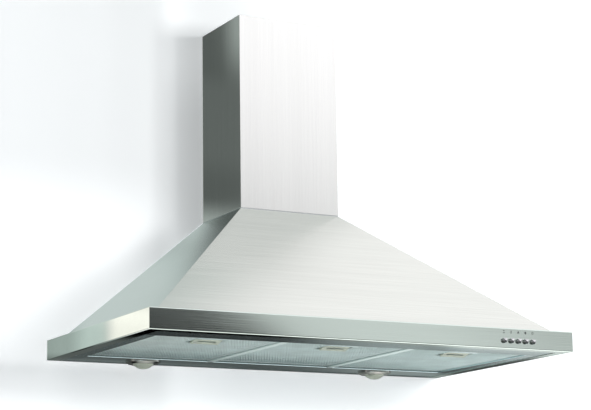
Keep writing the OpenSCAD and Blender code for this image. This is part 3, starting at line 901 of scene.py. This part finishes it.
@dataclass
class FilterBay:
    """One grease filter: frame, mesh pack, raised weave, latch and springs.

    The latch's slot and its housing's end are measured from the frame's front.
    """

    side: Side
    frame_fold: float = 0.3 * MM
    latch_fold: float = 0.25 * MM
    band: float = 8 * MM
    clearance: float = 0.4 * MM
    cell: Tuple[float, float] = (6 * MM, 11.5 * MM)
    strand: float = 0.9 * MM
    sink: float = 0.05 * MM
    housing_half: float = 32.5 * MM
    housing_end: float = 87.6 * MM
    slot_y: float = 59.6 * MM
    spring_wire: float = 0.6 * MM
    spring_turns: int = 7
    spring_steps: int = 14
    wire_sides: int = 8
    travel: float = 7 * MM
    slot_half: Triple = (19 * MM, 2.2 * MM, 8 * MM)

    def build(self, dresser: Dresser, finishes: Finishes) -> None:
        """Dresses the filter and weaves its mesh.

        Args:
            dresser: Gives the finishes.
            finishes: The materials by name.
        """
        word = self.side.word
        dresser.soften("filter_frame_" + word, self.frame_fold, finishes["frame"])
        low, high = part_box("filter_frame_" + word)
        middle = Vector(((low.x + high.x) / 2, low.y + self.slot_y, low.z))
        reach = Vector(self.slot_half)
        dresser.soften("filter_latch_" + word, self.latch_fold, finishes["latch"],
                       cuts=[(middle - reach, middle + reach)])
        dresser.dress(["filter_mesh_" + word], finishes["layers"])
        self._springs(dresser, finishes["zinc"])
        dresser.keep(self._weave(finishes["mesh"]), "filter_" + word)

    def _springs(self, dresser: Dresser, material: Material) -> None:
        """Winds the latch's two return springs, at one length; they don't shorten as the latch
        slides.

        Args:
            dresser: Gives the finish.
            material: The springs' material.
        """
        name = "latch_springs_" + self.side.word
        low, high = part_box(name)
        half = self.spring_wire / 2
        radius = (high.z - low.z) / 2
        length = high.y - low.y
        bpy.ops.object.select_all(action="DESELECT")
        bpy.ops.mesh.primitive_circle_add(vertices=self.wire_sides, radius=half)
        piece = bpy.context.object
        piece.name = name + "_wound"
        set_mode("EDIT")
        bpy.ops.transform.translate(value=(radius - half, 0.0, 0.0))
        set_mode("OBJECT")
        modify(piece, "SCREW", axis="Y", screw_offset=(length - 2 * half) / self.spring_turns,
               iterations=self.spring_turns, steps=self.spring_steps,
               render_steps=self.spring_steps)
        open_all()
        bpy.ops.mesh.fill_holes(sides=0)
        bpy.ops.mesh.select_all(action="SELECT")
        bpy.ops.transform.translate(
            value=(low.x + radius, low.y + half, (low.z + high.z) / 2))
        bpy.ops.mesh.duplicate()
        bpy.ops.transform.translate(value=(high.x - low.x - 2 * radius, 0.0, 0.0))
        closed(piece, smooth_deg=60.0)
        paint(piece, material)
        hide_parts(name)
        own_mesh(piece)
        dresser.keep(piece, dresser.body_of[name])

    def _weave(self, material: Material) -> Object:
        """Makes the raised diamond mesh that fills the frame's opening.

        Args:
            material: The weave's material.

        Returns:
            The weave.
        """
        low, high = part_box("filter_frame_" + self.side.word)
        mesh_low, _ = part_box("filter_mesh_" + self.side.word)
        front = low.y
        inset = self.band + self.clearance
        centre_x = (low.x + high.x) / 2
        y0 = front + inset
        y1 = front + self._depth() - inset
        width = high.x - low.x - 2 * inset
        count_x = round(width / self.cell[0])
        count_y = round((y1 - y0) / self.cell[1])
        z = mesh_low.z - self.strand / 2 + self.sink
        bpy.ops.object.select_all(action="DESELECT")
        bpy.ops.mesh.primitive_grid_add(x_subdivisions=count_x, y_subdivisions=count_y, size=1.0)
        piece = bpy.context.object
        piece.name = "filter_weave_" + self.side.word
        open_all()
        bpy.ops.transform.resize(value=(width, y1 - y0, 1.0))
        bpy.ops.transform.translate(value=(centre_x, (y0 + y1) / 2, z))
        bpy.ops.mesh.poke()
        bpy.ops.mesh.select_mode(type="EDGE")
        bpy.ops.mesh.select_all(action="DESELECT")
        set_mode("OBJECT")
        self._mark_grid_edges(piece, (centre_x - width / 2, centre_x + width / 2), (y0, y1))
        set_mode("EDIT")
        bpy.ops.mesh.dissolve_edges(use_verts=False)
        bpy.ops.mesh.select_mode(type="FACE")
        pick(piece, lambda c: abs(c.x - centre_x) < self.housing_half
             and c.y < front + self.housing_end)
        bpy.ops.mesh.delete(type="FACE")
        set_mode("OBJECT")
        modify(piece, "WIREFRAME", thickness=self.strand, use_replace=True,
               use_even_offset=False, use_boundary=True)
        closed(piece, smooth_deg=50.0)
        paint(piece, material)
        return piece

    def _depth(self) -> float:
        """Measures the frame without its rear tabs.

        Returns:
            Its depth.
        """
        frame_low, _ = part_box("filter_frame_" + self.side.word)
        mesh_low, mesh_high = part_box("filter_mesh_" + self.side.word)
        return mesh_high.y - frame_low.y + (mesh_low.y - frame_low.y)

    @staticmethod
    def _mark_grid_edges(piece: Object, xs: Tuple[float, float],
                         ys: Tuple[float, float]) -> None:
        """Selects the inner edges of the first grid, which run along X or Y.

        Args:
            piece: The poked grid.
            xs: The grid's ends along X, which stay.
            ys: The grid's ends along Y, which stay.
        """
        points = piece.data.vertices
        for edge in piece.data.edges:
            a, b = (points[i].co for i in edge.vertices)
            straight_x = abs(a.y - b.y) < MERGE and min(abs(a.y - y) for y in ys) > SAME
            straight_y = abs(a.x - b.x) < MERGE and min(abs(a.x - x) for x in xs) > SAME
            edge.select = straight_x or straight_y


@dataclass
class Lamps:
    """The two lamps behind the filters."""

    def build(self, dresser: Dresser, finishes: Finishes) -> None:
        """Dresses the lamps.

        Args:
            dresser: Gives the finishes.
            finishes: The materials by name.
        """
        for part, finish in (("bezel", "ring"), ("lens", "lens"), ("bulb", "bulb"),
                             ("housing", "galvanised")):
            dresser.dress(["lamp_%s_%s" % (part, word) for word in ("left", "right")],
                          finishes[finish])


@dataclass
class Controls:
    """The five push buttons and the signs over them.

    A sign's bar, blade or dot has its half width, half height and place off the centre.
    """

    sides: int = 16
    sign_rise: float = 16.5 * MM
    thickness: float = 0.06 * MM
    bar: Triple = (2.0 * MM, 0.75 * MM, 1.9 * MM)
    blade: Triple = (1.5 * MM, 0.9 * MM, 1.45 * MM)
    dot: Triple = (0.8 * MM, 0.45 * MM, 1.9 * MM)
    names: Tuple[str, ...] = ("off", "speed_1", "speed_2", "speed_3", "light")

    def build(self, dresser: Dresser, finishes: Finishes) -> None:
        """Dresses the buttons and prints a sign over each.

        Args:
            dresser: Gives the finishes.
            finishes: The materials by name.
        """
        dresser.dress(["button_" + name for name in self.names], finishes["chrome"])
        rim_low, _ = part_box("rim_band")
        for index, name in enumerate(self.names):
            low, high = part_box("button_" + name)
            centre = (low + high) / 2
            at = Vector((centre.x, rim_low.y, centre.z + self.sign_rise))
            piece = self._sign(index, at)
            piece.name = "sign_" + name
            paint(piece, finishes["ink"])
            dresser.keep(piece, "canopy")

    def _sign(self, index: int, at: Vector) -> Object:
        """One printed sign: bars, a fan of blades, or a ring.

        Args:
            index: The button's number from the left.
            at: The sign's centre on the rim.

        Returns:
            The sign.
        """
        shape, turns = self.blade, range(90, 450, 360 // (index + 1))
        if index == 0:
            shape, turns = self.bar, (90, 270)
        elif index == len(self.names) - 1:
            shape, turns = self.dot, range(0, 360, 45)
        half_w, half_h, reach = shape
        middle = (0.0, 0.0, 0.0)
        bpy.ops.object.select_all(action="DESELECT")
        bpy.ops.mesh.primitive_circle_add(vertices=self.sides, radius=1.0, fill_type="NGON")
        piece = bpy.context.object
        set_mode("EDIT")
        bpy.ops.mesh.delete(type="VERT")
        for angle in map(math.radians, turns):
            bpy.ops.mesh.select_all(action="DESELECT")
            bpy.ops.mesh.primitive_circle_add(vertices=self.sides, radius=1.0, fill_type="NGON")
            bpy.ops.transform.resize(value=(half_w, half_h, 1.0), center_override=middle)
            bpy.ops.transform.rotate(value=-angle if index else 0.0, orient_axis="Z",
                                     center_override=middle)
            bpy.ops.transform.translate(
                value=(reach * math.cos(angle), reach * math.sin(angle), 0.0))
        bpy.ops.mesh.select_all(action="SELECT")
        bpy.ops.mesh.extrude_region_move(
            TRANSFORM_OT_translate={"value": (0.0, 0.0, self.thickness)})
        set_mode("OBJECT")
        piece.matrix_world = Matrix.Translation(at) @ Matrix.Rotation(math.radians(90.0), 4, "X")
        return closed(piece)


@dataclass
class Works:
    """The blower, the outlet and the electrics inside."""

    def build(self, dresser: Dresser, finishes: Finishes) -> None:
        """Dresses the inner works.

        Args:
            dresser: Gives the finishes.
            finishes: The materials by name.
        """
        groups = {
            "plastic": ["housing_left", "housing_right", "outlet_collar", "flap_front",
                        "flap_rear", "switch_block", "transformer", "terminal_box",
                        "cable_gland"],
            "cast": ["motor"], "pale": ["capacitor"], "rubber": ["motor_bushes"],
            "galvanised": ["impeller"], "ground": ["motor_shaft", "flap_pin"],
            "zinc": ["motor_screws", "collar_screws", "blower_screws"],
        }
        for finish, names in groups.items():
            dresser.dress(names, finishes[finish])


# Painted light and painted shadow that the camera sees on the wall as glow, by x and z
SEEN_GLOW: Tuple[Patch, ...] = (
    (0.36,),
    (0.05, (0, -0.35, -0.55)),
    (0.30, (0, -0.12, -0.32), (1, 0.25, 0.02), (1, -0.20, -0.16)),
    (-0.15, (0, -0.20, -0.12), (0, 0.1, -0.1), (1, -0.05, 0.12)),
    (0.13, (1, -0.16, -0.19)),
    (0.20, (1, -0.23, -0.30)),
    (0.13, (0, -0.215, -0.165)),
    (0.08, (0, -0.235, -0.17), (1, 0.33, 0.47)),
    (0.04, (0, -0.28, -0.36), (1, 0.0, 0.1)),
    (0.05, (0, -0.36, -0.46), (1, -0.16, -0.19)),
    (-0.11, (0, -0.2, 0.0), (1, -0.16, -0.19)),
)
# Painted light and shade that the metal mirrors from the wall as glow, by x and z
WALL_GLOW: Tuple[Patch, ...] = (
    (0.13,),
    (0.32, (0, -0.155, -0.20), (1, 0.40, 0.55)),
    (0.38, (0, 0.0, -0.10), (1, 0.18, 0.10), (1, -0.19, -0.16)),
    (0.16, (0, -0.14, -0.26), (1, 0.20, 0.05), (1, -0.19, -0.16)),
    (-0.28, (0, -0.36, -0.44), (1, -0.07, -0.12), (1, -0.19, -0.16)),
    (0.21, (0, -0.49, -0.54), (1, -0.05, -0.12), (1, -0.24, -0.20)),
    (0.47, (0, -0.57, -0.60), (1, -0.03, -0.08), (1, -0.24, -0.20)),
    (0.50, (1, 0.20, 0.45), (0, 0.0, 0.15)),
    (0.46, (1, 0.20, 0.45), (0, 0.32, 0.56)),
    (0.06, (1, 0.20, 0.45), (0, 0.60, 0.80)),
    (-0.03, (1, -0.16, -0.185), (0, 0.15, 0.0)),
    (0.18, (1, -0.16, -0.185), (0, 0.10, 0.35)),
    (0.40, (1, -0.232, -0.243), (0, 0.42, 0.55)),
    (-0.26, (0, 0.40, 0.48), (1, -0.185, -0.195), (1, -0.245, -0.235)),
    (0.06, (0, -0.18, -0.13), (1, 0.18, 0.10), (1, -0.05, 0.05)),
    (0.03, (1, 0.20, 0.28), (1, 0.46, 0.40)),
    (0.04, (0, -0.44, -0.48), (1, -0.05, -0.10), (1, -0.24, -0.20)),
    (0.40, (1, -0.26, -0.31)),
    (0.75, (1, -0.33, -0.37), (1, -0.55, -0.48)),
    (-0.12, (0, 0.20, 0.05), (1, -0.228, -0.236), (1, -0.30, -0.27)),
    (0.12, (0, 0.26, 0.36), (0, 0.60, 0.45), (1, 0.45, 0.60), (1, 0.95, 0.85)),
)
# Painted light that the metal mirrors from the floor as glow, by x, z and y
FLOOR_GLOW: Tuple[Patch, ...] = (
    (0.12,),
    (0.44, (2, -1.6, -1.0)),
    (0.45, (2, -0.75, -0.60), (2, -0.10, -0.20)),
    (1.30, (0, -0.15, 0.25), (2, -1.6, -1.0)),
    (0.40, (0, 0.4, 0.9), (2, -1.6, -1.0)),
)
# Light that the metal mirrors from the room, by x + rise_share z, z and y of the direction
ROOM_GLOW: Tuple[Patch, ...] = (
    (0.05,),
    (0.68, (0, 0.624, 0.637)),
    (0.48, (1, 0.155, 0.20)),
    (0.27, (0, 0.70, 0.84), (1, 0.17, 0.20)),
    (-0.19, (0, 0.70, 0.75), (1, 0.17, 0.14)),
    (-0.56, (1, 0.40, 0.60)),
    (0.40, (0, 0.90, 1.10), (1, 0.45, 0.35)),
    (0.20, (2, -0.25, 0.1)),
    (-1.0, (0, 1.05, 1.20), (1, 0.40, 0.33)),
    (-0.44, (0, 0.56, 0.46), (0, 0.15, 0.30), (1, 0.155, 0.20)),
    (0.24, (0, 0.42, 0.15), (1, 0.20, 0.155)),
)


@dataclass
class Studio:
    """The wall, the floor, the lamps and the camera.

    The camera's angles are in radians, and its focal length is in pixels of its frame.
    """

    focal_px: float = 1927.024
    frame_px: float = 591.0
    yaw: float = 0.48963
    pitch: float = 0.1982
    roll: float = -0.01383
    eye: Triple = (-1.78532, -3.55153, -0.63153)
    wall_size: Tuple[float, float] = (14.0, 6.0)
    wall_at: Triple = (0.0, 1 * MM, 1.2)
    floor_size: Tuple[float, float] = (14.0, 9.0)
    floor_at: Triple = (0.0, -4.499, -1.78)
    sensor: float = 36.0
    rise_share: float = 1.33
    matt_light: float = 0.13

    def build(self) -> None:
        """Sets up the whole studio."""
        self._camera()
        self._backdrop()
        self._world()
        self._lamp("key", 23.0, 6.0, 3.6, (1.1, 0.9), 68.0)
        self._lamp("fill", -20.0, 35.0, 4.2, (3.0, 2.5), 4.0)
        scene = bpy.context.scene
        scene.view_settings.view_transform = "Standard"

    def _camera(self) -> None:
        """Places the camera at the photographed viewpoint."""
        forward = Vector((math.sin(self.yaw) * math.cos(self.pitch),
                          math.cos(self.yaw) * math.cos(self.pitch), math.sin(self.pitch)))
        right = Vector((math.cos(self.yaw), -math.sin(self.yaw), 0.0))
        up = right.cross(forward)
        across = math.cos(self.roll) * right + math.sin(self.roll) * up
        above = math.cos(self.roll) * up - math.sin(self.roll) * right
        turn = Matrix((across, above, -forward)).transposed().to_4x4()
        data = bpy.data.cameras.new("camera")
        data.sensor_width = self.sensor
        data.lens = self.focal_px * self.sensor / self.frame_px
        data.clip_start, data.clip_end = 0.05, 60.0
        camera = bpy.data.objects.new("camera", data)
        camera.matrix_world = Matrix.Translation(self.eye) @ turn
        bpy.context.scene.collection.objects.link(camera)
        bpy.context.scene.camera = camera

    def _backdrop(self) -> None:
        """Adds the wall and the floor."""
        wall = self._sheet("wall", self.wall_size, self.wall_at, math.radians(90.0))
        floor = self._sheet("floor", self.floor_size, self.floor_at, 0.0)
        paint(wall, self._plaster("wall_paint", WALL_GLOW))
        paint(floor, self._plaster("floor_paint", FLOOR_GLOW))

    @staticmethod
    def _sheet(name: str, size: Tuple[float, float], at: Triple, tilt: float) -> Object:
        """A flat backdrop sheet.

        Args:
            name: Its name.
            size: Its width and height.
            at: Its centre.
            tilt: Its turn about X.

        Returns:
            The sheet.
        """
        bpy.ops.object.select_all(action="DESELECT")
        bpy.ops.mesh.primitive_plane_add(size=1.0)
        sheet = bpy.context.object
        sheet.name = name
        sheet.matrix_world = (Matrix.Translation(at) @ Matrix.Rotation(tilt, 4, "X")
                              @ Matrix.Diagonal((*size, 1.0, 1.0)))
        choose(sheet)
        bpy.ops.object.transform_apply(location=True, rotation=True, scale=True)
        return sheet

    @staticmethod
    def _plaster(name: str, mirrored: Sequence[Patch]) -> Material:
        """White paint that glows with painted light and painted shadow, and can be seen through
        from behind and from very near.

        Args:
            name: The material's name.
            mirrored: The painted light and shade that the metal mirrors from it.

        Returns:
            The material.
        """
        s = Surface(name)
        mottle = s.noise(detail=2.0, size=2.0)
        tone = s.blend(mottle, (0.86, 0.87, 0.885), (0.90, 0.905, 0.91))
        glossy = s.node("LightPath", output="Is Glossy Ray")
        # In the metal's reflections the wall's own colour is dark, so it shows only its painted
        # glow
        matt = s.node("BsdfDiffuse", sockets={"Color": s.blend(glossy, tone, DARK)})
        x, y, z = s.axes()
        seen = s.node("LightPath", output="Is Camera Ray")
        # The painted glow: light and shadow patches for the camera, and light patches for the
        # metal to mirror
        shine = s.patches((x, z, y), mirrored)
        strength = seen * s.patches((x, z), SEEN_GLOW) + glossy * shine
        # The tint of the painted reflection, warm towards the far left
        plain = s.blend(s.step(shine, 0.60, 0.90), (0.885, 0.99, 0.955), (0.98, 0.970, 0.962))
        mirror = s.blend(s.step(x, -0.56, -0.60), plain, (1.0, 0.925, 0.87))
        glow = s.node("Emission", sockets={
            "Color": s.blend(glossy, (0.97, 0.985, 1.0), mirror), "Strength": strength})
        body = s.node("AddShader", sockets={0: matt, 1: glow})
        behind = s.node("NewGeometry", output="Backfacing")
        close = s.node("LightPath", output="Ray Length") < NEAR
        clear = s.node("BsdfTransparent")
        mixed = s.node("MixShader", sockets={0: behind | close, 1: body, 2: clear})
        s.node("OutputMaterial", sockets={"Surface": mixed})
        return s.material

    def _world(self) -> None:
        """A white surround with a soft light and dark side for the metal to show."""
        world = bpy.data.worlds.new("surround")
        bpy.context.scene.world = world
        world.use_nodes = True
        s = Shading(world.node_tree)
        x, y, z = s.axes("Generated")
        shown = s.patches((x + z * self.rise_share, z, y), ROOM_GLOW)
        glossy = s.node("LightPath", output="Is Glossy Ray")
        plain = (s.node("LightPath", output="Is Camera Ray")
                 | s.node("LightPath", output="Is Transmission Ray"))
        rest = (1.0 - glossy) * (1.0 - plain) * self.matt_light
        strength = plain + glossy * shown + rest
        mirror = s.blend(s.step(shown, 0.80, 1.15), (0.985, 1.0, 1.0), (1.06, 1.03, 1.07))
        tint = s.blend(glossy, s.blend(plain, (0.82, 1.0, 1.0), (1.0, 1.0, 1.0)), mirror)
        glow = s.node("Background", sockets={"Color": tint, "Strength": strength})
        s.node("OutputWorld", sockets={"Surface": glow})

    @staticmethod
    def _lamp(name: str, azimuth: float, elevation: float, distance: float,
              size: Tuple[float, float], power: float) -> None:
        """A soft lamp that the metal doesn't mirror.

        Args:
            name: Its name.
            azimuth: Degrees to the right of the front.
            elevation: Degrees above the horizon.
            distance: From the middle of the hood.
            size: Its width and height.
            power: In watts.
        """
        a, e = math.radians(azimuth), math.radians(elevation)
        out = Vector((math.sin(a) * math.cos(e), -math.cos(a) * math.cos(e), math.sin(e)))
        data = bpy.data.lights.new(name, "AREA")
        data.shape = "RECTANGLE"
        data.size, data.size_y = size
        data.energy = power
        lamp = bpy.data.objects.new(name, data)
        lamp.location = out * distance
        lamp.rotation_mode = "QUATERNION"
        lamp.rotation_quaternion = out.to_track_quat("Z", "Y")
        lamp.visible_glossy = False
        lamp.visible_camera = False
        bpy.context.scene.collection.objects.link(lamp)


def make_finishes() -> Finishes:
    """Makes the finishes of all pieces but the steel sheets.

    Returns:
        The materials by name.
    """
    mesh_low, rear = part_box("filter_mesh_left")
    parts = {
        # The frame's drain slots and all past FRAME_DEPTH are painted dark, as painted shade
        "frame": Aluminium("aluminium_frame", tone=(0.67, 0.79, 0.79), roughness=0.6,
                           drain_y=rear.y - DRAIN_INSET, dim_above=mesh_low.z + FRAME_DEPTH),
        "mesh": Aluminium("aluminium_weave", tone=(0.80, 0.93, 0.93), roughness=0.36),
        "layers": LayeredMesh("aluminium_layers"),
        "latch": Moulded("latch_plate", tone=(0.74, 0.81, 0.66), roughness=0.42),
        "chrome": Polished("chrome", tone=(0.62, 0.63, 0.64), roughness=0.04),
        "ring": Polished("lamp_ring", tone=(0.60, 0.58, 0.55), roughness=0.16),
        "ground": Polished("ground_steel", tone=(0.68, 0.69, 0.70), roughness=0.2),
        "zinc": Polished("zinc_plate", tone=(0.72, 0.73, 0.72), roughness=0.3),
        "cast": Aluminium("cast_aluminium", tone=(0.55, 0.57, 0.58), roughness=0.5),
        "galvanised": Spangled("galvanised_sheet"),
        "plastic": Moulded("black_plastic"),
        "pale": Moulded("pale_plastic", tone=(0.72, 0.71, 0.64), roughness=0.42),
        "rubber": Moulded("bush_rubber", tone=(0.02, 0.02, 0.021), roughness=0.75),
        "ink": Moulded("printed_ink", tone=(0.05, 0.055, 0.055), roughness=0.6, strength=0.05),
        "lens": Glass("lens_glass"),
        "bulb": Glass("bulb_glass", tone=(0.97, 0.97, 0.95), roughness=0.05, clear=0.9,
                      edge=(0.85, 0.86, 0.86)),
    }
    return {name: finish.material() for name, finish in parts.items()}


def main() -> None:
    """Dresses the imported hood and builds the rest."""
    logging.basicConfig(level=logging.INFO, format="%(name)s: %(message)s")
    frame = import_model()
    body_of = {node: body for body, nodes in frame["record"]["behaviour"]["bodies"].items()
               for node in nodes}
    dresser = Dresser(frame["nodes"], body_of)
    finishes = make_finishes()
    Canopy().build(dresser)
    Chimney().build(dresser)
    Tray().build(dresser)
    for side in Side:
        FilterBay(side).build(dresser, finishes)
    Lamps().build(dresser, finishes)
    Controls().build(dresser, finishes)
    Works().build(dresser, finishes)
    Studio().build()
    LOG.info("%d new pieces", len(dresser.made))


if __name__ == "__main__":
    main()
